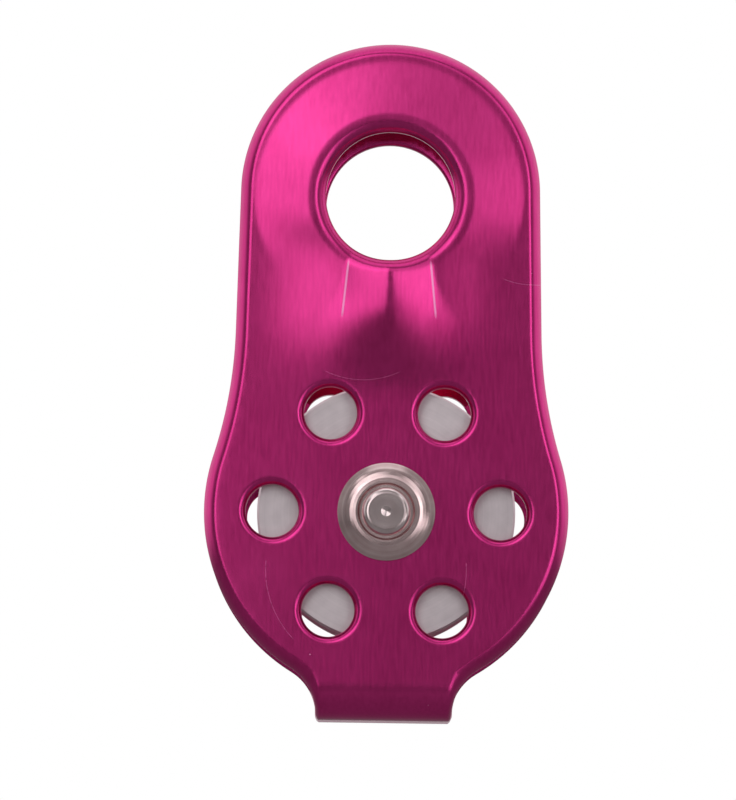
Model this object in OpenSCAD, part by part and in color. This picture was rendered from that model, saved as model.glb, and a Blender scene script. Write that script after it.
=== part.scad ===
// Fixed-cheek rope pulley. One aluminium sheet is cut, pressed and folded into two side plates,
// and a grooved sheave turns between them on a riveted steel axle.
// The origin is the centre of the attachment eye. The pulley hangs from it, with +Z up,
// the front plate on the -Y side and the axle along Y.

/* [Plate outline] */
// Radius of the upper lobe, round the attachment eye
lobe_r = 23.2; // [22.5:0.1:26]
// Height of the upper lobe's centre above the eye's centre
lobe_rise = 0.6; // [0:0.1:1.5]
// Drop from the eye's centre to the axle
axle_drop = 49; // [46:0.1:60]
// Angle at which each side edge leans outwards on its way down
side_flare = 1.3; // [0:0.1:2.5]
// Radius of the hollow curve that leads from the side edge into the lower lobe
waist_r = 70; // [50:1:80]
// Width of plate that shows outside the sheave, all round the lower lobe
cheek_margin = 8.2; // [7:0.1:11]
// Width of the folded tab that joins the two plates
tab_w = 21.2; // [16:0.1:25]
// Radius of the hollow corner between the lower lobe and the tab
tab_corner_r = 8; // [6:0.1:10]

/* [Sheet] */
// Thickness of the folded sheet
sheet_t = 3; // [2.6:0.1:3.6]
// Outer radius of the two bends of the fold
bend_r = 5.2; // [4.6:0.1:6.5]
// Free height between the sheave's rim and the fold
fold_clearance = 9.1; // [8.5:0.1:14]
// Rounding of the sheet's outer edges
edge_round = 2; // [1.2:0.1:2.3]
// Rounding of those edges where the tab is folded
fold_edge_round = 0.7; // [0.4:0.1:1.2]
// Rounding of the sheet's inner edges
inner_edge_round = 0.4; // [0.2:0.05:0.6]

/* [Attachment eye] */
// Diameter of the attachment eye
eye_d = 20; // [17:0.1:22]
// Height of the pressed cone at the eye above the flat plate
eye_raise = 1; // [0.6:0.05:1.4]
// Drop from the eye's centre to the lower end of the pressed cone
cone_drop = 27; // [24:0.1:30]
// Width of the rolled lip round the eye
lip_w = 2.4; // [1.8:0.1:3]
// Depth of the rolled lip round the eye
lip_depth = 1.5; // [1:0.1:1.8]
// Height of the gable rib below the eye, above the cone that it stands on
rib_h = 0.8; // [0.4:0.05:1.1]
// Half width of the gable rib next to the eye
rib_half_w = 6.4; // [4:0.1:7]
// Extra half width that the rib gains on its way down
rib_spread = 0.9; // [0:0.1:1.5]
// Length of the rib's two creases
rib_crease_l = 8.7; // [6:0.1:10]
// Drop from the eye's centre to the rib's lower tip
rib_drop = 25.5; // [22:0.1:27]

/* [Lightening holes] */
// Number of holes round the axle
hole_count = 6; // [4:1:8]
// Diameter of each hole
hole_d = 8.2; // [6:0.1:9]
// Diameter of the circle through the holes' centres
hole_pcd = 35.3; // [34:0.1:37]
// Pressed rounding of each hole's outer edge
hole_round = 1.4; // [0.8:0.1:1.6]

/* [Sheave] */
// Radius of the sheave
sheave_r = 20; // [18:0.1:24]
// Diameter of the thickest rope that the groove takes
rope_d = 13; // [10:0.1:14]
// Room between that rope and each side of the groove
groove_clearance = 0.1; // [0:0.05:0.3]
// Thickness of each flange at the sheave's rim
flange_t = 1.1; // [0.8:0.1:2]
// Chamfer of the sheave's outer edges
rim_chamfer = 0.3; // [0.1:0.05:0.4]

/* [Bearing] */
// Diameter of the axle's barrel, on which the bush turns
barrel_d = 10; // [9:0.1:11]
// Radial running clearance between the bush and the barrel
running_clearance = 0.04; // [0.02:0.01:0.08]
// Wall of the bearing bush
bush_wall = 2; // [1.5:0.1:2.5]
// How far the bush stands proud of each side of the sheave
bush_proud = 0.4; // [0.3:0.05:0.8]
// End play between the bush and each plate
bush_end_play = 0.1; // [0.05:0.05:0.2]

/* [Rivet ends] */
// Diameter of the axle's necks, which pass through plates and washers
neck_d = 6.6; // [5.8:0.1:6.8]
// Diameter of the rivet buttons
button_d = 7.5; // [7:0.1:7.8]
// Height of the rivet buttons over the washers' seats
button_h = 1.4; // [1:0.1:1.8]
// Rounding of the rivet buttons
button_round = 1; // [0.5:0.1:1]
// Diameter of the conical washers
washer_d = 15.1; // [13:0.1:18]
// Thickness of the washers at their rim
washer_rim_t = 0.5; // [0.3:0.1:1]
// Thickness of the washers at their raised ring
washer_ring_t = 1.5; // [1.2:0.1:2]
// Diameter of the washers' raised ring
washer_ring_d = 9.5; // [9.2:0.1:10.5]
// Thickness of the washers under the rivet buttons
washer_seat_t = 0.9; // [0.5:0.1:1.1]

/* [Hidden] */

// Colours
ANODISED = [0.62, 0.10, 0.38];
ALUMINIUM = [0.62, 0.60, 0.60];
BRONZE = [0.66, 0.50, 0.28];
STEEL = [0.74, 0.72, 0.71];

// Width of the flat land round the rolled lip, and of the flat rim outside the cone's foot
lip_land = 0.4;
cone_margin = 0.3;

// Sizes that follow from the driving ones
groove_r = rope_d / 2 + groove_clearance;
sheave_w = 2 * (groove_r + flange_t);
bush_l = sheave_w + 2 * bush_proud;
plate_gap = bush_l + 2 * bush_end_play;
inner_y = plate_gap / 2;
outer_y = inner_y + sheet_t;
bush_bore_r = barrel_d / 2 + running_clearance;
bush_r = bush_bore_r + bush_wall;
cheek_r = sheave_r + cheek_margin;
axle_z = -axle_drop;
fold_z = axle_z - sheave_r - fold_clearance - sheet_t;
eye_r = eye_d / 2;
lip_r = eye_r + lip_w;
land_r = lip_r + lip_land;
cone_r = lobe_r - edge_round - cone_margin;

// Number of straight steps in each curved stretch of the outline and the fold
lobe_steps = 18;
waist_steps = 6;
cheek_steps = 18;
corner_steps = 6;
bend_steps = 8;
edge_steps = 6;
cone_steps = 60;
lip_steps = 8;
washer_steps = 6;

// Width of the bright ring on each washer, and the centre mark in each rivet button
ring_w = 0.3;
mark_r = 0.8;
mark_depth = 0.25;

// Depth by which a pressed form reaches into or out of the sheet, so that it cuts cleanly
overlap = 1;
// Small depth by which a form's edge dips under the surface it blends into
dip = 0.02;

$fn = 96;

// The lean of the side edge, as the direction square to it
side_n = [cos(side_flare), sin(side_flare)];
side_d = [sin(side_flare), -cos(side_flare)];

// Centre of the hollow waist curve, which touches the side edge and the lower lobe
lobe_over_axle = axle_drop + lobe_rise;
waist_across = lobe_r + waist_r + lobe_over_axle * sin(side_flare);
waist_along = lobe_over_axle * cos(side_flare) - sqrt((cheek_r + waist_r) ^ 2 - waist_across ^ 2);
waist_c = [0, lobe_rise] + (lobe_r + waist_r) * side_n + waist_along * side_d;
waist_a = atan2(waist_c[1] - axle_z, waist_c[0]);

// Centre of the hollow corner, which touches the lower lobe and the tab's edge
corner_x = tab_w / 2 + tab_corner_r;
corner_a = acos(corner_x / (cheek_r + tab_corner_r));
corner_z = axle_z - (cheek_r + tab_corner_r) * sin(corner_a);
corner_top_z = corner_z + tab_corner_r * sin(corner_a);

// The flat sheet bends below this height, and keeps its length along its middle
bend_z = fold_z + bend_r;
bend_middle_r = bend_r - sheet_t / 2;
bend_l = bend_middle_r * PI / 2;
tab_end_z = bend_z - bend_l;

// A point of the outline is [x, z, step in x, step in z]: its place on the flat sheet, and how it
// moves for each millimetre that the outline shrinks.
function arc(c, r, a0, a1, steps, side, first = 0) = [
    for (i = [first:steps])
        let (a = a0 + (a1 - a0) * i / steps)
        [c[0] + r * cos(a), c[1] + r * sin(a), -side * cos(a), -side * sin(a)]
];

// Across the hollow corner and the tab, the outline shrinks sideways only
function corner_lean(z) = min(1, max(0, (z - corner_z) / tab_corner_r));
function tab_point(z) =
    let (across = sqrt(1 - corner_lean(z) ^ 2))
    [corner_x - tab_corner_r * across, z, -1 / across, 0];

function steps_between(z0, z1, steps) = [for (i = [1:steps]) z0 + (z1 - z0) * i / steps];

// Right half of the flat sheet's outline, from the top of the lobe to the end of the bend
half_outline = concat(
    arc([0, lobe_rise], lobe_r, 90, side_flare, lobe_steps, 1),
    arc(waist_c, waist_r, 180 + side_flare, 180 + waist_a, waist_steps, -1),
    arc([0, axle_z], cheek_r, waist_a, -corner_a, cheek_steps, 1, 1),
    [for (z = steps_between(corner_top_z, bend_z, corner_steps)) tab_point(z)],
    [for (z = steps_between(bend_z, tab_end_z, bend_steps)) tab_point(z)]
);

// The outer edges are less rounded on the tab, from the hollow corners down to the fold
function outer_round(z) =
    edge_round - (edge_round - fold_edge_round)
        * min(1, max(0, (corner_top_z - z) / (corner_top_z - tab_end_z)));

// Section through the sheet's edge, from the inner face to the outer one, as pairs of how far the
// edge draws in and how deep it lies under the outer face
function edge_section(outer_r) = concat(
    [for (a = [90, 45, 0]) [inner_edge_round * (1 - cos(a)), sheet_t - inner_edge_round * (1 - sin(a))]],
    [for (i = [0:edge_steps])
        let (a = 90 * i / edge_steps)
        [outer_r * (1 - cos(a)), outer_r * (1 - sin(a))]]
);

// Place of a point of the front half, after the fold is made
function folded(x, z, depth) =
    z >= bend_z
        ? [x, depth - outer_y, z]
        : let (a = (bend_z - z) / bend_middle_r * 180 / PI)
          [x, bend_r - outer_y - (bend_r - depth) * cos(a), bend_z - (bend_r - depth) * sin(a)];

// The sheet is skinned over stations that run down the front plate, through the fold and up the
// back plate. At each one, the section runs round the right edge and then the left one.
half_count = len(half_outline);
last_station = 2 * half_count - 1;
half_sections = [for (p = half_outline) edge_section(outer_round(p[1]))];
edge_count = len(half_sections[0]);
ring_count = 2 * edge_count;

function edge_level(s) = min(s, ring_count - 1 - s);

function sheet_point(k, s) =
    let (
        i = min(k, last_station - k),
        p = half_outline[i],
        edge = half_sections[i][edge_level(s)],
        side = s < edge_count ? 1 : -1,
        at = folded(side * (p[0] + p[2] * edge[0]), p[1] + p[3] * edge[0], edge[1])
    )
    k < half_count ? at : [at[0], -at[1], at[2]];

// At the two tops, the right and left edges share their points
function sheet_index(k, s) =
    k == 0
        ? edge_level(s)
        : edge_count + (k - 1) * ring_count + (k == last_station ? edge_level(s) : s);

module folded_sheet() {
    points = [
        for (k = [0:last_station])
            for (s = [0:(k == 0 || k == last_station ? edge_count : ring_count) - 1])
                sheet_point(k, s)
    ];
    faces = [
        for (k = [0:last_station - 1])
            for (s = [0:ring_count - 1])
                let (
                    t = (s + 1) % ring_count,
                    a = sheet_index(k, s),
                    b = sheet_index(k + 1, s),
                    c = sheet_index(k + 1, t),
                    d = sheet_index(k, t)
                )
                each [if (b != c) [a, b, c], if (a != d) [a, c, d]]
    ];
    polyhedron(points, faces);
}

// Forms that are pressed into a plate are drawn in its own frame: x across, y up and z outwards
// from its flat outer face
module on_each_plate() {
    for (back = [0, 1])
        mirror([0, back, 0])
            translate([0, -outer_y, 0])
                rotate([90, 0, 0])
                    children();
}

// The cone's foot is round above the eye and reaches further down below it
function foot_r(a) = cone_r + (cone_drop - cone_r) * max(0, -sin(a)) ^ 2;
function cone_height(x, y) =
    let (foot = foot_r(atan2(y, x)))
    eye_raise * (foot - norm([x, y])) / (foot - land_r);

module pressed_cone() {
    // Each loop is a radius at the eye's side, a share of the way out to the foot, and a height
    loops = [
        [eye_r - overlap, 0, -overlap],
        [eye_r - overlap, 0, eye_raise],
        [land_r, 0, eye_raise],
        [land_r, 1, -dip],
        [land_r, 1, -overlap]
    ];
    points = [
        for (loop = loops)
            for (k = [0:cone_steps - 1])
                let (a = 360 * k / cone_steps, r = loop[0] + loop[1] * (foot_r(a) - loop[0]))
                [r * cos(a), r * sin(a), loop[2]]
    ];
    faces = [
        for (i = [0:len(loops) - 1])
            for (k = [0:cone_steps - 1])
                let (
                    j = (i + 1) % len(loops),
                    m = (k + 1) % cone_steps,
                    a = i * cone_steps + k,
                    b = i * cone_steps + m,
                    c = j * cone_steps + m,
                    d = j * cone_steps + k
                )
                each [[a, b, c], [a, c, d]]
    ];
    polyhedron(points, faces);
}

// The gable rib is a roof. Its crest runs down from the eye's lip to a tip in the flat plate, and
// its two eaves are the creases that show beside it.
module gable_rib() {
    crease_top = sqrt(lip_r ^ 2 - rib_half_w ^ 2);
    crease_end = [rib_half_w + rib_spread, -crease_top - rib_crease_l];
    crest = eye_raise + rib_h;
    half = [
        [rib_half_w, overlap - crease_top, eye_raise - dip],
        [rib_half_w, -crease_top, eye_raise - dip],
        [crease_end[0], crease_end[1], cone_height(crease_end[0], crease_end[1]) - dip]
    ];
    top = concat(
        [[0, overlap - crease_top, crest], [0, -lip_r, crest], [0, -rib_drop, -dip]],
        half,
        [for (p = half) [-p[0], p[1], p[2]]]
    );
    count = len(top);
    base = [for (p = top) [p[0], p[1], -overlap]];
    roof = [[0, 3, 4, 1], [1, 4, 5], [1, 5, 2], [0, 1, 7, 6], [1, 8, 7], [1, 2, 8]];
    rim = [0, 6, 7, 8, 2, 5, 4, 3];
    walls = [
        for (i = [0:len(rim) - 1])
            let (a = rim[i], b = rim[(i + 1) % len(rim)])
            [a, b, b + count, a + count]
    ];
    floor_face = [[for (i = rim) i + count]];
    polyhedron(concat(top, base), concat(roof, walls, floor_face));
}

// Quarter of an ellipse that rolls a hole's edge over, as pairs of radius and height. It starts
// in the hole's wall and ends level with the face at the given height.
function roll(r, w, depth, face, steps) = [
    for (i = [0:steps])
        let (a = 90 * i / steps)
        [r + w * (1 - cos(a)), face - depth * (1 - sin(a))]
];

module rolled_edge(r, w, depth, face, steps) {
    rotate_extrude()
        polygon(concat(
            [[r - overlap, face - depth]],
            roll(r, w, depth, face, steps),
            [[r + w + overlap, face + overlap], [r - overlap, face + overlap]]
        ));
}

module eye_cut() {
    rolled_edge(eye_r, lip_w, lip_depth, eye_raise, lip_steps);
    translate([0, 0, -sheet_t])
        mirror([0, 0, 1])
            rolled_edge(eye_r, inner_edge_round, inner_edge_round, -eye_raise, 2);
}

module through_both(r) {
    translate([0, outer_y + overlap + eye_raise, 0])
        rotate([90, 0, 0])
            cylinder(r = r, h = 2 * (outer_y + overlap + eye_raise));
}

module at_each_hole() {
    for (i = [0:hole_count - 1])
        rotate(360 * i / hole_count)
            translate([hole_pcd / 2, 0, 0])
                children();
}

module side_frame() {
    color(ANODISED)
        difference() {
            union() {
                folded_sheet();
                on_each_plate() {
                    pressed_cone();
                    gable_rib();
                }
            }
            on_each_plate()
                translate([0, 0, -sheet_t]) {
                    pressed_cone();
                    gable_rib();
                }
            on_each_plate()
                eye_cut();
            through_both(eye_r);
            translate([0, 0, axle_z])
                through_both(neck_d / 2);
            on_each_plate()
                translate([0, axle_z, 0])
                    at_each_hole()
                        rolled_edge(hole_d / 2, hole_round, hole_round, 0, lip_steps);
            translate([0, outer_y + overlap, axle_z])
                rotate([90, 0, 0])
                    at_each_hole()
                        cylinder(d = hole_d, h = 2 * (outer_y + overlap));
        }
}

// Turned pieces are drawn as pairs of radius and height along the axle, from its middle
module turned() {
    translate([0, 0, axle_z])
        rotate([90, 0, 0])
            rotate_extrude()
                children();
}

function mirrored_ends(half) = concat(
    half,
    [for (i = [len(half) - 1:-1:0]) [half[i][0], -half[i][1]]]
);

module sheave() {
    color(ALUMINIUM)
        turned()
            difference() {
                polygon(mirrored_ends([
                    [sheave_r, groove_r],
                    [sheave_r, sheave_w / 2 - rim_chamfer],
                    [sheave_r - rim_chamfer, sheave_w / 2],
                    [bush_r, sheave_w / 2]
                ]));
                translate([sheave_r, 0])
                    circle(groove_r);
            }
}

module sheave_bush() {
    chamfer = bush_proud / 2;
    color(BRONZE)
        turned()
            polygon(mirrored_ends([
                [bush_r, bush_l / 2 - chamfer],
                [bush_r - chamfer, bush_l / 2],
                [bush_bore_r, bush_l / 2]
            ]));
}

module axle() {
    seat = outer_y + washer_seat_t;
    top = seat + button_h;
    rounding = [
        for (a = [0:15:90])
            [button_d / 2 - button_round * (1 - cos(a)), top - button_round * (1 - sin(a))]
    ];
    color(STEEL)
        turned()
            polygon(mirrored_ends(concat(
                [[barrel_d / 2, inner_y], [neck_d / 2, inner_y], [neck_d / 2, seat], [button_d / 2, seat]],
                rounding,
                [[mark_r, top], [0, top - mark_depth]]
            )));
}

module washer(front) {
    ring_r = washer_ring_d / 2;
    slope = [
        for (i = [0:washer_steps])
            let (a = 90 * i / washer_steps)
            [
                washer_d / 2 - (washer_d / 2 - ring_r) * i / washer_steps,
                washer_rim_t + (washer_ring_t - washer_rim_t) * sin(a)
            ]
    ];
    color(STEEL)
        turned()
            mirror([0, front ? 0 : 1])
                translate([0, outer_y])
                    polygon(concat(
                        [[neck_d / 2, 0], [washer_d / 2, 0]],
                        slope,
                        [
                            [ring_r - ring_w, washer_ring_t],
                            [ring_r - 2 * ring_w, washer_seat_t],
                            [neck_d / 2, washer_seat_t]
                        ]
                    ));
}

module front_washer() {
    washer(front = true);
}

module back_washer() {
    washer(front = false);
}

side_frame();
sheave();
sheave_bush();
axle();
front_washer();
back_washer();
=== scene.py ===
"""Looks of the rope pulley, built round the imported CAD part. Lengths are millimetres until a mesh is made."""
import math

import bmesh
import bpy
import numpy as np
from mathutils import Matrix, Vector
from mathutils.geometry import delaunay_2d_cdt


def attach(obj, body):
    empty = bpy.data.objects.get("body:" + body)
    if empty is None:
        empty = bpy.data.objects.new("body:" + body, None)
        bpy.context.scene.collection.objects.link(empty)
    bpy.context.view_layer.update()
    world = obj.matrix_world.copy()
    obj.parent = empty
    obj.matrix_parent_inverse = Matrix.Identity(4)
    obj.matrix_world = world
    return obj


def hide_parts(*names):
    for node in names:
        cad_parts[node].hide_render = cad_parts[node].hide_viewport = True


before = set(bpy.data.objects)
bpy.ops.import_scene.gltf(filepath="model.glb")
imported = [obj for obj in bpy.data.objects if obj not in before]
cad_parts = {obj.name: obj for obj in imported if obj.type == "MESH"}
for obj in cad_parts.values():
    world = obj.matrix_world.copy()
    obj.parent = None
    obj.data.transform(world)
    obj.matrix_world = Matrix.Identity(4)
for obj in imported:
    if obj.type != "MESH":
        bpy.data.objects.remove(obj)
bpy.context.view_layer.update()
MM = 0.001
SCENE = bpy.context.scene

# Sizes, as in the CAD part
LOBE_R, LOBE_RISE = 23.2, 0.6
AXLE_DROP, SIDE_FLARE = 49.0, math.radians(1.3)
WAIST_R = 70.0
TAB_W, TAB_CORNER_R = 21.2, 8.0
SHEET_T, BEND_R, FOLD_CLEARANCE = 3.0, 5.2, 9.1
EDGE_ROUND, FOLD_EDGE_ROUND, INNER_EDGE_ROUND = 2.0, 0.7, 0.4
EYE_R, EYE_RAISE = 10.0, 1.0
LIP_W, LIP_DEPTH, LIP_LAND = 2.4, 1.5, 0.4
RIB_H, RIB_HALF_W, RIB_SPREAD, RIB_CREASE_L, RIB_DROP = 1.2, 6.4, 0.9, 8.7, 30.0
HOLE_R, HOLE_PCR, HOLE_ROUND, HOLE_DEPTH, HOLE_COUNT = 4.1, 17.65, 1.4, 0.9, 6
EDGE_POWER, LIP_POWER = 2.4, 3.2
SHEAVE_R, ROPE_D, GROOVE_CLEARANCE, FLANGE_T = 20.0, 13.0, 0.1, 1.1
NECK_R = 3.3
INNER_Y = 8.2
OUTER_Y = INNER_Y + SHEET_T
CHEEK_R = SHEAVE_R + 8.2
AXLE_Z = -AXLE_DROP
FOLD_Z = AXLE_Z - SHEAVE_R - FOLD_CLEARANCE - SHEET_T
LIP_R = EYE_R + LIP_W
LAND_R = LIP_R + LIP_LAND
CONE_R = LOBE_R - EDGE_ROUND - 0.3
CREASE_Z = -math.sqrt(LIP_R ** 2 - RIB_HALF_W ** 2)
# The swelling under the eye: its height, where it starts to fall and ends, and half the width of its
# rounded top. The rounding of the rib's crest at the eye, and how that grows downwards
ROOF_H, ROOF_TOP_Z, ROOF_DROP, BARREL_HALF_W = 1.15, -17.0, 32.0, 9.0
CREST_R, CREST_SPREAD = 0.35, 0.1
BEND_Z = FOLD_Z + BEND_R
BEND_MIDDLE_R = BEND_R - SHEET_T / 2
BEND_L = BEND_MIDDLE_R * math.pi / 2
FLAT_L = OUTER_Y - BEND_R

# The waist curve touches the side edge and the lower lobe
OVER_AXLE = AXLE_DROP + LOBE_RISE
SIDE_N = np.array([math.cos(SIDE_FLARE), math.sin(SIDE_FLARE)])
SIDE_D = np.array([math.sin(SIDE_FLARE), -math.cos(SIDE_FLARE)])
WAIST_ACROSS = LOBE_R + WAIST_R + OVER_AXLE * math.sin(SIDE_FLARE)
WAIST_ALONG = OVER_AXLE * math.cos(SIDE_FLARE) - math.sqrt((CHEEK_R + WAIST_R) ** 2 - WAIST_ACROSS ** 2)
WAIST_C = np.array([0, LOBE_RISE]) + (LOBE_R + WAIST_R) * SIDE_N + WAIST_ALONG * SIDE_D
WAIST_A = math.atan2(WAIST_C[1] - AXLE_Z, WAIST_C[0])
CORNER_X = TAB_W / 2 + TAB_CORNER_R
CORNER_A = math.acos(CORNER_X / (CHEEK_R + TAB_CORNER_R))
CORNER_Z = AXLE_Z - (CHEEK_R + TAB_CORNER_R) * math.sin(CORNER_A)
CORNER_TOP_Z = CORNER_Z + TAB_CORNER_R * math.sin(CORNER_A)

# The side frame's sheet


def arc(c, r, a0, a1, side, step=0.45, skip_first=False):
    n = max(2, int(math.ceil(abs(a1 - a0) * r / step)))
    a = a0 + (a1 - a0) * np.arange(1 if skip_first else 0, n + 1) / n
    return np.stack([c[0] + r * np.cos(a), c[1] + r * np.sin(a), -side * np.cos(a), -side * np.sin(a)], 1)


def tab_points(z):
    lean = np.clip((z - CORNER_Z) / TAB_CORNER_R, 0, 1)
    across = np.sqrt(1 - lean ** 2)
    return np.stack([CORNER_X - TAB_CORNER_R * across, z, -1 / across, 0 * z], 1)


def stretch(z0, z1, step=0.4):
    n = max(2, int(math.ceil(abs(z1 - z0) / step)))
    return z0 + (z1 - z0) * np.arange(1, n + 1) / n


# Right half of the outline on the flat sheet, as x, z and how they move as the outline draws in
OUTLINE = np.concatenate([
    arc((0, LOBE_RISE), LOBE_R, math.pi / 2, SIDE_FLARE, 1),
    arc(WAIST_C, WAIST_R, math.pi + SIDE_FLARE, math.pi + WAIST_A, -1, 0.7),
    arc((0, AXLE_Z), CHEEK_R, WAIST_A, -CORNER_A, 1, skip_first=True),
    tab_points(stretch(CORNER_TOP_Z, BEND_Z)),
    tab_points(stretch(BEND_Z, BEND_Z - BEND_L, 0.3)),
    tab_points(stretch(BEND_Z - BEND_L, BEND_Z - BEND_L - FLAT_L, 1.0)),
])
MIDDLE_Z = BEND_Z - BEND_L - FLAT_L
# The outer edges are less rounded on the tab, from the hollow corners down to the fold
OUTER_ROUND = EDGE_ROUND - (EDGE_ROUND - FOLD_EDGE_ROUND) * np.clip(
    (CORNER_TOP_Z - OUTLINE[:, 1]) / (CORNER_TOP_Z - BEND_Z + BEND_L), 0, 1)
HOLES = [(HOLE_PCR * math.cos(math.radians(60 * i)), AXLE_Z + HOLE_PCR * math.sin(math.radians(60 * i)))
         for i in (-1, 0, 1)]


def inset(e):
    """The outline drawn in by e, one value or one for each point."""
    return OUTLINE[:, :2] + OUTLINE[:, 2:] * np.reshape(e, (-1, 1))


def soft_pos(t, w):
    """max(t, 0) with its corner rounded over a width w each side."""
    return np.where(t > w, t, np.where(t < -w, 0, (t + w) ** 2 / (4 * w)))


def ramp(t):
    """Smooth step from 0 to 1."""
    t = np.clip(t, 0, 1)
    return t * t * (3 - 2 * t)


def cone_height(x, z):
    """The cone round the eye."""
    t = (CONE_R - np.hypot(x, z)) / (CONE_R - LAND_R)
    return EYE_RAISE * (1 - soft_pos(1 - soft_pos(t, 0.06), 0.02))


def roof_height(x, z):
    """The swelling under the eye, which fills the sheet's width, and the gable rib on it between two creases."""
    reach = np.maximum(CONE_R - np.abs(x), 0)
    foot_w, top_w = CONE_R - LAND_R, BARREL_HALF_W
    side = np.where(reach < foot_w, reach ** 2 / (2 * foot_w), reach - foot_w / 2)
    over = np.maximum(top_w - np.abs(x), 0)
    barrel = (side - over ** 2 / (2 * top_w)) / (CONE_R - foot_w / 2 - top_w / 2)
    swell = ROOF_H * barrel * (1 - ramp((ROOF_TOP_Z - z) / (ROOF_TOP_Z + ROOF_DROP)))
    crest = CREST_R + CREST_SPREAD * np.clip(-LIP_R - z, 0, 12)
    across = np.sqrt(x ** 2 + crest ** 2) - crest
    down = np.clip((CREASE_Z - z) / RIB_CREASE_L, -0.3, 1.5)
    half_w = RIB_HALF_W + RIB_SPREAD * down
    gable = soft_pos(1 - across / half_w, 0.02 + 0.4 * np.clip(down, 0, 1) ** 2)
    fade = 1 - ramp((-LIP_R - z) / (RIB_DROP - LIP_R))
    return swell + (EYE_RAISE + RIB_H - ROOF_H) * gable * fade


def pressed(x, z):
    """Height of the pressed forms over the flat face."""
    w = ramp((-2 - z) / 11)
    h = (1 - w) * cone_height(x, z) + w * roof_height(x, z)
    return np.where(z < -ROOF_DROP - 1, 0.0, h)


def folded(x, z, depth, h):
    """Place on the folded sheet of a point of the front half. h lifts it out of the flat face."""
    y = depth - OUTER_Y - h
    out = np.stack([x, y, z], 1)
    a = np.clip((BEND_Z - z) / BEND_MIDDLE_R, 0, math.pi / 2)
    r = BEND_R - depth
    extra = np.maximum(0, BEND_Z - BEND_L - z)
    bent = np.stack([x, BEND_R - OUTER_Y - r * np.cos(a) + extra, BEND_Z - r * np.sin(a)], 1)
    return np.where((z < BEND_Z)[:, None], bent, out)


def circle_points(c, r, n, half=False):
    if half:
        a = np.linspace(-math.pi / 2, math.pi / 2, n // 2 + 1)
    else:
        a = np.arange(n) * 2 * math.pi / n
    return np.stack([c[0] + r * np.cos(a), c[1] + r * np.sin(a)], 1)


def inside_polygon(p, poly):
    x, y = p[:, 0], p[:, 1]
    inside = np.zeros(len(p), bool)
    q = np.roll(poly, -1, 0)
    for (x0, y0), (x1, y1) in zip(poly, q):
        if y0 == y1:
            continue
        cond = (y0 > y) != (y1 > y)
        inside ^= cond & (x < (x1 - x0) * (y - y0) / (y1 - y0) + x0)
    return inside


def hex_grid(x0, x1, z0, z1, step):
    rows = int((z1 - z0) / (step * 0.866)) + 1
    cols = int((x1 - x0) / step) + 1
    i, j = np.meshgrid(np.arange(cols), np.arange(rows))
    return np.stack([x0 + step * (i + 0.5 * (j % 2)), z0 + step * 0.866 * j], 2).reshape(-1, 2)


def face_mesh(edge_inset, eye_r, hole_r, fine, coarse):
    """Triangles of the right half of a face of the flat sheet, as points and faces."""
    outline = inset(edge_inset)
    eye_n, hole_n, neck_n = 240, 96, 64
    eye = circle_points((0, 0), eye_r, eye_n, half=True)
    neck = circle_points((0, AXLE_Z), NECK_R, neck_n, half=True)
    holes = [circle_points(c, hole_r, hole_n) for c in HOLES]

    def middle(z0, z1):
        n = max(1, int(math.ceil(abs(z1 - z0) / 0.5)))
        z = z0 + (z1 - z0) * np.arange(1, n) / n
        return np.stack([0 * z, z], 1)

    bottom = outline[-1]
    close = np.stack([np.linspace(bottom[0], 0, 24)[1:-1], np.full(22, MIDDLE_Z)], 1)
    loop = np.concatenate([
        outline, close, [[0, MIDDLE_Z]],
        middle(MIDDLE_Z, AXLE_Z - NECK_R), neck,
        middle(AXLE_Z + NECK_R, -eye_r), eye,
        middle(eye_r, outline[0][1]),
    ])
    loops = [loop] + holes
    edge_points = np.concatenate(loops)
    edges, at = [], 0
    for l in loops:
        edges += [(at + i, at + (i + 1) % len(l)) for i in range(len(l))]
        at += len(l)
    near = hex_grid(0.15, 24, -33.5, 24, fine)
    near = near[(near[:, 1] > -33) & (np.hypot(near[:, 0], near[:, 1]) > eye_r)]
    far = hex_grid(0.25, 29, MIDDLE_Z, -33, coarse)
    grid = np.concatenate([near, far])
    grid = grid[inside_polygon(grid, loop)]
    for h in holes:
        grid = grid[~inside_polygon(grid, h)]
    keep = np.ones(len(grid), bool)
    gap = np.where(grid[:, 1] > -33, fine, coarse) * 0.55
    for k in range(0, len(grid), 4000):
        d = np.linalg.norm(grid[k:k + 4000, None] - edge_points[None], axis=2).min(1)
        keep[k:k + 4000] = d > gap[k:k + 4000]
    grid = grid[keep]
    points = np.concatenate([edge_points, grid])
    co, _, faces, _, _, _ = delaunay_2d_cdt(
        [Vector(p) for p in points.tolist()], edges, [], 0, 1e-5, False)
    co = np.array([tuple(v) for v in co])
    faces = np.array([f for f in faces])
    centre = co[faces].mean(1)
    ok = inside_polygon(centre, loop)
    for h in holes:
        ok &= ~inside_polygon(centre, h)
    return co, faces[ok]


class Sheet:
    """Collects the points and faces of the front right quarter."""

    def __init__(self):
        self.co, self.faces, self.count = [], [], 0

    def add(self, points, faces):
        self.co.append(points)
        self.faces += [tuple(int(i) + self.count for i in f) for f in faces]
        self.count += len(points)

    def strip(self, rings, closed):
        """Quads between successive rings of equal length."""
        n = len(rings[0])
        faces = []
        for k in range(len(rings) - 1):
            for i in range(n if closed else n - 1):
                j = (i + 1) % n
                faces.append((k * n + i, k * n + j, (k + 1) * n + j, (k + 1) * n + i))
        self.add(np.concatenate(rings), faces)


def rolled(width, depth, steps, power):
    """Section of an edge that rolls into the face ever more gently, as pairs of inset and depth."""
    out = []
    for i in range(steps + 1):
        e = (i / steps) ** 1.5
        out.append((width * e, depth * (1 - e) ** power))
    return out


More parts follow.
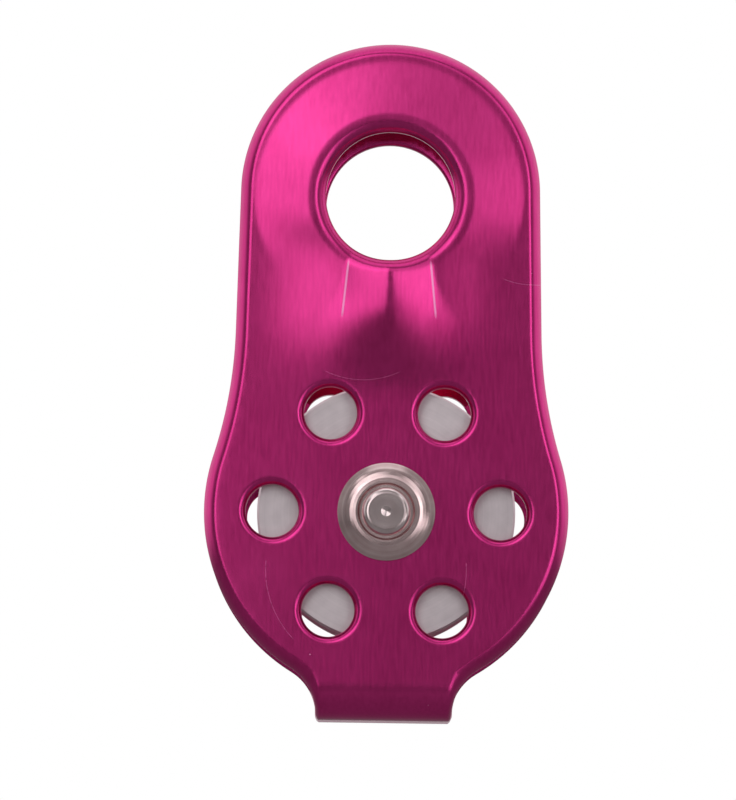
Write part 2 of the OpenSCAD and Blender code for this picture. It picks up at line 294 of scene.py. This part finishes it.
def rolled_rings(c, r, section, n, half):
    """Rings of a hole's edge that follow such a section."""
    if half:
        edge = circle_points(c, r + max(e for e, _ in section), n, half)
        lift = pressed(edge[:, 0], edge[:, 1])
    else:
        lift = np.zeros(n)
    rings = []
    for e, d in section:
        p = circle_points(c, r + e, n, half)
        rings.append(folded(p[:, 0], p[:, 1], np.full(len(p), d), lift))
    return rings


def build_side_frame():
    s = Sheet()
    # outer face
    co, faces = face_mesh(OUTER_ROUND, LIP_R, HOLE_R + HOLE_ROUND, 0.36, 0.8)
    s.add(folded(co[:, 0], co[:, 1], np.zeros(len(co)), pressed(co[:, 0], co[:, 1])), faces)
    # inner face
    co, faces = face_mesh(INNER_EDGE_ROUND, EYE_R + INNER_EDGE_ROUND, HOLE_R, 0.8, 1.3)
    s.add(folded(co[:, 0], co[:, 1], np.full(len(co), SHEET_T), pressed(co[:, 0], co[:, 1])), faces)
    # the sheet's edge, from the inner face to the outer one
    rings = []
    for a in np.radians([90, 60, 30, 0]):
        p = inset(INNER_EDGE_ROUND * (1 - math.cos(a)))
        rings.append(folded(p[:, 0], p[:, 1], np.full(len(p), SHEET_T - INNER_EDGE_ROUND * (1 - math.sin(a))), 0 * p[:, 0]))
    for e, d in rolled(1, 1, 14, EDGE_POWER):
        p = inset(OUTER_ROUND * e)
        rings.append(folded(p[:, 0], p[:, 1], OUTER_ROUND * d, 0 * p[:, 0]))
    s.strip(rings, closed=False)
    # the eye's lip, its wall and its inner edge
    lip = rolled_rings((0, 0), EYE_R, rolled(LIP_W, LIP_DEPTH, 14, LIP_POWER), 240, True)
    inner = rolled_rings((0, 0), EYE_R, [(INNER_EDGE_ROUND, SHEET_T), (0.1, SHEET_T - 0.1), (0, SHEET_T - INNER_EDGE_ROUND)],
                         240, True)
    s.strip(inner + lip, closed=False)
    # the lightening holes
    for c in HOLES:
        wall = rolled_rings(c, HOLE_R, [(0, SHEET_T)] + rolled(HOLE_ROUND, HOLE_DEPTH, 12, LIP_POWER), 96, False)
        s.strip(wall, closed=True)
    neck = circle_points((0, AXLE_Z), NECK_R, 64, half=True)
    s.strip([folded(neck[:, 0], neck[:, 1], np.full(len(neck), d), np.zeros(len(neck))) for d in (SHEET_T, 0.0)], closed=False)

    co = np.concatenate(s.co) * MM
    co[np.abs(co[:, 0]) < 1e-7, 0] = 0
    quarters = []
    for sx, sy in ((1, 1), (-1, 1), (1, -1), (-1, -1)):
        quarters.append(co * [sx, sy, 1])
    all_co = np.concatenate(quarters)
    all_faces = []
    for q in range(4):
        all_faces += [tuple(i + q * len(co) for i in f) for f in s.faces]
    mesh = bpy.data.meshes.new("side_frame_sheet")
    mesh.from_pydata(all_co.tolist(), [], all_faces)
    bm = bmesh.new()
    bm.from_mesh(mesh)
    bmesh.ops.remove_doubles(bm, verts=bm.verts, dist=2e-6)
    bmesh.ops.dissolve_degenerate(bm, edges=bm.edges, dist=1e-6)
    bmesh.ops.recalc_face_normals(bm, faces=bm.faces)
    for f in bm.faces:
        f.smooth = True
    bm.to_mesh(mesh)
    bm.free()
    mesh.update()
    return mesh


side_mesh = build_side_frame()
side = bpy.data.objects.new("side_frame_sheet", side_mesh)
SCENE.collection.objects.link(side)
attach(side, "frame")
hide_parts("side_frame")
print("side frame:", len(side_mesh.vertices), "vertices", len(side_mesh.polygons), "faces")

# Materials


def new_material(name):
    m = bpy.data.materials.new(name)
    m.use_nodes = True
    nt = m.node_tree
    nt.nodes.clear()
    out = nt.nodes.new("ShaderNodeOutputMaterial")
    bsdf = nt.nodes.new("ShaderNodeBsdfPrincipled")
    nt.links.new(bsdf.outputs[0], out.inputs[0])
    return m, nt, bsdf


def node(nt, kind, **values):
    n = nt.nodes.new(kind)
    for k, v in values.items():
        if k in n.inputs.keys():
            n.inputs[k].default_value = v
        else:
            setattr(n, k, v)
    return n


def srgb(r, g, b):
    def f(c):
        c /= 255
        return c / 12.92 if c <= 0.04045 else ((c + 0.055) / 1.055) ** 2.4
    return (f(r), f(g), f(b), 1)


def calc(nt, operation, *values):
    """A Math node on sockets or numbers."""
    n = nt.nodes.new("ShaderNodeMath")
    n.operation = operation
    for i, v in enumerate(values):
        if isinstance(v, (int, float)):
            n.inputs[i].default_value = v
        else:
            nt.links.new(v, n.inputs[i])
    return n.outputs[0]


def place_mm(nt):
    """The surface point's own x, y and z in millimetres."""
    coord = node(nt, "ShaderNodeTexCoord")
    scale = node(nt, "ShaderNodeVectorMath", operation="SCALE", Scale=1 / MM)
    nt.links.new(coord.outputs["Object"], scale.inputs[0])
    split = nt.nodes.new("ShaderNodeSeparateXYZ")
    nt.links.new(scale.outputs[0], split.inputs[0])
    return scale.outputs[0], split.outputs[0], split.outputs[1], split.outputs[2]


def distance_from(nt, x, z, cx, cz):
    dx = calc(nt, "SUBTRACT", x, cx)
    dz = calc(nt, "SUBTRACT", z, cz)
    return calc(nt, "SQRT", calc(nt, "ADD", calc(nt, "MULTIPLY", dx, dx), calc(nt, "MULTIPLY", dz, dz)))


def band(nt, value, low, high, soft):
    """1 between low and high, with soft sides."""
    up = node(nt, "ShaderNodeMapRange", interpolation_type="SMOOTHSTEP")
    down = node(nt, "ShaderNodeMapRange", interpolation_type="SMOOTHSTEP")
    for n, (v0, v1) in ((up, (low - soft, low)), (down, (high + soft, high))):
        nt.links.new(value, n.inputs["Value"])
        n.inputs["From Min"].default_value = v0
        n.inputs["From Max"].default_value = v1
    return calc(nt, "MULTIPLY", up.outputs[0], down.outputs[0])


def noise(nt, vector, scale, detail=3.0, stretch=(1, 1, 1)):
    n = node(nt, "ShaderNodeTexNoise", Scale=scale, Detail=detail)
    squeeze = node(nt, "ShaderNodeVectorMath", operation="MULTIPLY")
    squeeze.inputs[1].default_value = stretch
    nt.links.new(vector, squeeze.inputs[0])
    nt.links.new(squeeze.outputs[0], n.inputs["Vector"])
    return n.outputs["Fac"]


def colour_ramp(nt, value, *stops):
    ramp = nt.nodes.new("ShaderNodeValToRGB")
    for i, (at, colour) in enumerate(stops):
        e = ramp.color_ramp.elements[i] if i < 2 else ramp.color_ramp.elements.new(at)
        e.position = at
        e.color = srgb(*colour)
    nt.links.new(value, ramp.inputs["Fac"])
    return ramp.outputs["Color"]


def blend_colour(nt, share, first, colour):
    mix = nt.nodes.new("ShaderNodeMix")
    mix.data_type = "RGBA"
    nt.links.new(share, mix.inputs["Factor"])
    nt.links.new(first, mix.inputs["A"])
    mix.inputs["B"].default_value = srgb(*colour)
    return mix.outputs["Result"]


# Fine scratches in the anodised face, as arcs: centre x and z, radius, lowest and highest z, all mm
SCRATCHES = [
    (-3.0, -58.0, 15.5, -68.5, -57.0),
    (-4.0, -15.0, 13.6, -28.6, -27.6),
    (22.0, -2.0, 11.5, -13.6, -12.9),
]


def anodised():
    """Dyed satin aluminium: faint upright grain, cloudy dye, specks, scratches, and a painted highlight along the
    rib's creases.
    """
    m, nt, bsdf = new_material("anodised_magenta")
    link = nt.links.new
    place, x, y, z = place_mm(nt)
    grain = noise(nt, place, 2.6, 4.0, (1, 1, 0.12))
    speckle = noise(nt, place, 5.5, 2.0)
    cloud = noise(nt, place, 0.11, 4.0)
    tone = calc(nt, "ADD", calc(nt, "MULTIPLY", cloud, 0.45), calc(nt, "MULTIPLY", grain, 0.55))
    colour = colour_ramp(nt, tone, (0.3, (202, 46, 124)), (0.7, (226, 60, 144)))
    # specks
    cells = node(nt, "ShaderNodeTexVoronoi", Scale=0.16)
    link(place, cells.inputs["Vector"])
    speck = calc(nt, "MULTIPLY", calc(nt, "LESS_THAN", cells.outputs["Distance"], 0.018), 0.7)
    scratches_and_crease_highlight = calc(nt, "MULTIPLY", speck, calc(nt, "GREATER_THAN", speckle, 0.44))
    # scratches
    for cx, cz, radius, low, high in SCRATCHES:
        line = band(nt, calc(nt, "SUBTRACT", distance_from(nt, x, z, cx, cz), radius), -0.02, 0.02, 0.06)
        line = calc(nt, "MULTIPLY", line, band(nt, z, low, high, 0.5))
        line = calc(nt, "MULTIPLY", line, calc(nt, "MULTIPLY", speckle, 0.5))
        scratches_and_crease_highlight = calc(nt, "MAXIMUM", scratches_and_crease_highlight, line)
    # a painted highlight along the rib's creases: a thin pale pinkish line in the colour that stands in for their
    # glint
    spread = RIB_SPREAD / RIB_CREASE_L
    crease_x = calc(nt, "ADD", calc(nt, "MULTIPLY", z, -spread), RIB_HALF_W + CREASE_Z * spread)
    off = calc(nt, "SUBTRACT", calc(nt, "ABSOLUTE", x), crease_x)
    crease_highlight = calc(nt, "MULTIPLY", band(nt, off, -0.06, 0.06, 0.16),
                  band(nt, z, CREASE_Z - RIB_CREASE_L + 1.5, CREASE_Z - 0.6, 1.5))
    scratches_and_crease_highlight = calc(nt, "MAXIMUM", scratches_and_crease_highlight, calc(nt, "MULTIPLY", crease_highlight, 0.75))
    # the specks and scratches are pale marks of the face itself, while along the creases the same pale colour is a
    # painted highlight
    link(blend_colour(nt, scratches_and_crease_highlight, colour, (255, 170, 218)), bsdf.inputs["Base Color"])
    rough = node(nt, "ShaderNodeMapRange")
    rough.inputs["To Min"].default_value = 0.21
    rough.inputs["To Max"].default_value = 0.26
    link(grain, rough.inputs["Value"])
    link(calc(nt, "ADD", rough.outputs["Result"], calc(nt, "MULTIPLY", scratches_and_crease_highlight, 0.2)), bsdf.inputs["Roughness"])
    bump = node(nt, "ShaderNodeBump", Strength=0.08, Distance=0.00002)
    link(calc(nt, "ADD", grain, speckle), bump.inputs["Height"])
    link(bump.outputs["Normal"], bsdf.inputs["Normal"])
    bsdf.inputs["Metallic"].default_value = 1.0
    bsdf.inputs["Coat Weight"].default_value = 0.12
    bsdf.inputs["Coat Roughness"].default_value = 0.18
    bsdf.inputs["Coat IOR"].default_value = 1.6
    return m


def turned_metal(name, dark, light, roughness, spun, ring_scale):
    """Metal with the concentric marks of the lathe round the axle, and a little dirt and wear."""
    m, nt, bsdf = new_material(name)
    link = nt.links.new
    place, x, y, z = place_mm(nt)
    radius = distance_from(nt, x, z, 0, AXLE_Z)
    rings = node(nt, "ShaderNodeTexNoise", noise_dimensions="1D", Scale=ring_scale, Detail=4.0)
    link(radius, rings.inputs["W"])
    cloud = noise(nt, place, 0.5, 4.0)
    fine = noise(nt, place, 6.0, 3.0)
    tone = calc(nt, "ADD", calc(nt, "MULTIPLY", rings.outputs["Fac"], 0.45), calc(nt, "MULTIPLY", cloud, 0.55))
    link(colour_ramp(nt, tone, (0.3, dark), (0.7, light)), bsdf.inputs["Base Color"])
    rough = node(nt, "ShaderNodeMapRange")
    rough.inputs["To Min"].default_value = roughness * 0.8
    rough.inputs["To Max"].default_value = roughness * 1.2
    link(calc(nt, "MULTIPLY", calc(nt, "ADD", fine, rings.outputs["Fac"]), 0.5), rough.inputs["Value"])
    link(rough.outputs["Result"], bsdf.inputs["Roughness"])
    bump = node(nt, "ShaderNodeBump", Strength=0.12, Distance=0.00002)
    link(calc(nt, "ADD", rings.outputs["Fac"], calc(nt, "MULTIPLY", fine, 0.4)), bump.inputs["Height"])
    link(bump.outputs["Normal"], bsdf.inputs["Normal"])
    tangent = node(nt, "ShaderNodeTangent", direction_type="RADIAL", axis="Y")
    link(tangent.outputs[0], bsdf.inputs["Tangent"])
    bsdf.inputs["Metallic"].default_value = 1.0
    bsdf.inputs["Anisotropic"].default_value = spun
    return m


def assign(obj, material):
    obj.data.materials.clear()
    obj.data.materials.append(material)


ANODISED = anodised()
assign(side, ANODISED)
TURNED = {
    "sheave": ((214, 202, 206), (230, 218, 222), 0.40, 0.2, 1.2),
    "sheave_bush": ((150, 112, 62), (178, 140, 84), 0.42, 0.2, 2.0),
    "axle": ((214, 192, 194), (240, 222, 222), 0.18, 0.3, 2.0),
    "front_washer": ((210, 178, 180), (240, 214, 214), 0.19, 0.5, 2.0),
    "back_washer": ((210, 178, 180), (240, 214, 214), 0.19, 0.5, 2.0),
}
for name, looks in TURNED.items():
    assign(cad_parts[name], turned_metal(name + "_metal", *looks))

# Camera, light and floor

PAN, TILT, ROLL = math.radians(0.05), math.radians(4.09), math.radians(0.80)
camera_data = bpy.data.cameras.new("camera")
camera_data.lens = 361.5
camera_data.sensor_width = 36
camera = bpy.data.objects.new("camera", camera_data)
SCENE.collection.objects.link(camera)
camera.location = (-0.00414, -1.25, -0.1203)
camera.rotation_mode = "QUATERNION"
camera.rotation_quaternion = (Matrix.Rotation(-PAN, 3, "Z") @ Matrix.Rotation(math.pi / 2 + TILT, 3, "X")
                              @ Matrix.Rotation(ROLL, 3, "Z")).to_quaternion()
SCENE.camera = camera

SCENE.view_settings.view_transform = "Standard"

# Soft boxes in front of the part, as azimuth, elevation, width, height and level. Azimuth 0 is
# towards the camera and grows to the right. A level of 1 is white.
LAMP_CENTRE, LAMP_DISTANCE = Vector((0, -0.012, -0.04)), 0.6
SOFT_BOXES = {
    "upper_left": (-20, 30, 0.34, 0.26, 1.20),
    "left": (-17, 9, 0.20, 0.26, 1.25),
    "top": (0, 66, 0.40, 0.30, 0.50),
    "upper_front": (9, 27, 0.20, 0.20, 0.45),
    "upper_right": (30, 26, 0.20, 0.20, 0.85),
    "right": (26, 5, 0.20, 0.24, 1.50),
    "low_right": (40, -9, 0.26, 0.14, 0.95),
    "low_front": (18, -9, 0.12, 0.10, 0.70),
}
ROOM_LEVEL, BACKDROP_LEVEL, LOW_SHARE, FLOOR_Z = 0.22, 0.9, 0.1, -0.25


def soft_box(name, azimuth, elevation, width, height, level):
    a, e = math.radians(azimuth), math.radians(elevation)
    away = Vector((math.cos(e) * math.sin(a), -math.cos(e) * math.cos(a), math.sin(e)))
    data = bpy.data.lights.new(name, "AREA")
    data.shape = "RECTANGLE"
    data.size = width
    data.size_y = height
    data.energy = math.pi * width * height * level
    lamp = bpy.data.objects.new(name, data)
    lamp.location = LAMP_CENTRE + away * LAMP_DISTANCE
    lamp.rotation_mode = "QUATERNION"
    lamp.rotation_quaternion = away.to_track_quat("Z", "Y")
    lamp.visible_camera = False
    SCENE.collection.objects.link(lamp)


def studio_world():
    """White to the camera. To the part, a white backdrop behind it and a dim room in front."""
    world = bpy.data.worlds.new("studio")
    SCENE.world = world
    world.use_nodes = True
    nt = world.node_tree
    nt.nodes.clear()
    link = nt.links.new
    out = nt.nodes.new("ShaderNodeOutputWorld")
    white = node(nt, "ShaderNodeBackground", Color=(1, 1, 1, 1), Strength=1.0)
    room = node(nt, "ShaderNodeBackground", Color=(1, 1, 1, 1))
    mix = nt.nodes.new("ShaderNodeMixShader")
    path = nt.nodes.new("ShaderNodeLightPath")
    link(path.outputs["Is Camera Ray"], mix.inputs[0])
    link(room.outputs[0], mix.inputs[1])
    link(white.outputs[0], mix.inputs[2])
    link(mix.outputs[0], out.inputs[0])
    coord = nt.nodes.new("ShaderNodeTexCoord")
    split = nt.nodes.new("ShaderNodeSeparateXYZ")
    link(coord.outputs["Generated"], split.inputs[0])
    behind = node(nt, "ShaderNodeMapRange", interpolation_type="SMOOTHSTEP")
    link(split.outputs["Y"], behind.inputs["Value"])
    for socket, value in (("From Min", -0.7), ("From Max", 0.1), ("To Min", ROOM_LEVEL), ("To Max", BACKDROP_LEVEL)):
        behind.inputs[socket].default_value = value
    above = node(nt, "ShaderNodeMapRange", interpolation_type="SMOOTHSTEP")
    link(split.outputs["Z"], above.inputs["Value"])
    for socket, value in (("From Min", -0.45), ("From Max", 0.15), ("To Min", LOW_SHARE), ("To Max", 1.0)):
        above.inputs[socket].default_value = value
    link(calc(nt, "MULTIPLY", behind.outputs["Result"], above.outputs["Result"]), room.inputs["Strength"])


def build_floor():
    mesh = bpy.data.meshes.new("floor")
    ring = circle_points((0, 0), 1.2, 64)
    mesh.from_pydata([(x, y, 0) for x, y in ring.tolist()], [], [tuple(range(len(ring)))])
    floor = bpy.data.objects.new("floor", mesh)
    floor.location = (0, 0, FLOOR_Z)
    SCENE.collection.objects.link(floor)
    m, nt, bsdf = new_material("floor_paint")
    bsdf.inputs["Base Color"].default_value = (0.22, 0.22, 0.22, 1)
    bsdf.inputs["Roughness"].default_value = 0.9
    # the camera sees the pale floor mostly as the white studio, with the part's soft shadow on it
    glow = node(nt, "ShaderNodeEmission", Color=(1, 1, 1, 1), Strength=1.0)
    path = nt.nodes.new("ShaderNodeLightPath")
    mix = nt.nodes.new("ShaderNodeMixShader")
    nt.links.new(calc(nt, "MULTIPLY", path.outputs["Is Camera Ray"], 0.75), mix.inputs[0])
    nt.links.new(bsdf.outputs[0], mix.inputs[1])
    nt.links.new(glow.outputs[0], mix.inputs[2])
    output = next(n for n in nt.nodes if n.type == "OUTPUT_MATERIAL")
    nt.links.new(mix.outputs[0], output.inputs[0])
    assign(floor, m)


for name, values in SOFT_BOXES.items():
    soft_box(name, *values)
studio_world()
build_floor()

bpy.context.view_layer.update()
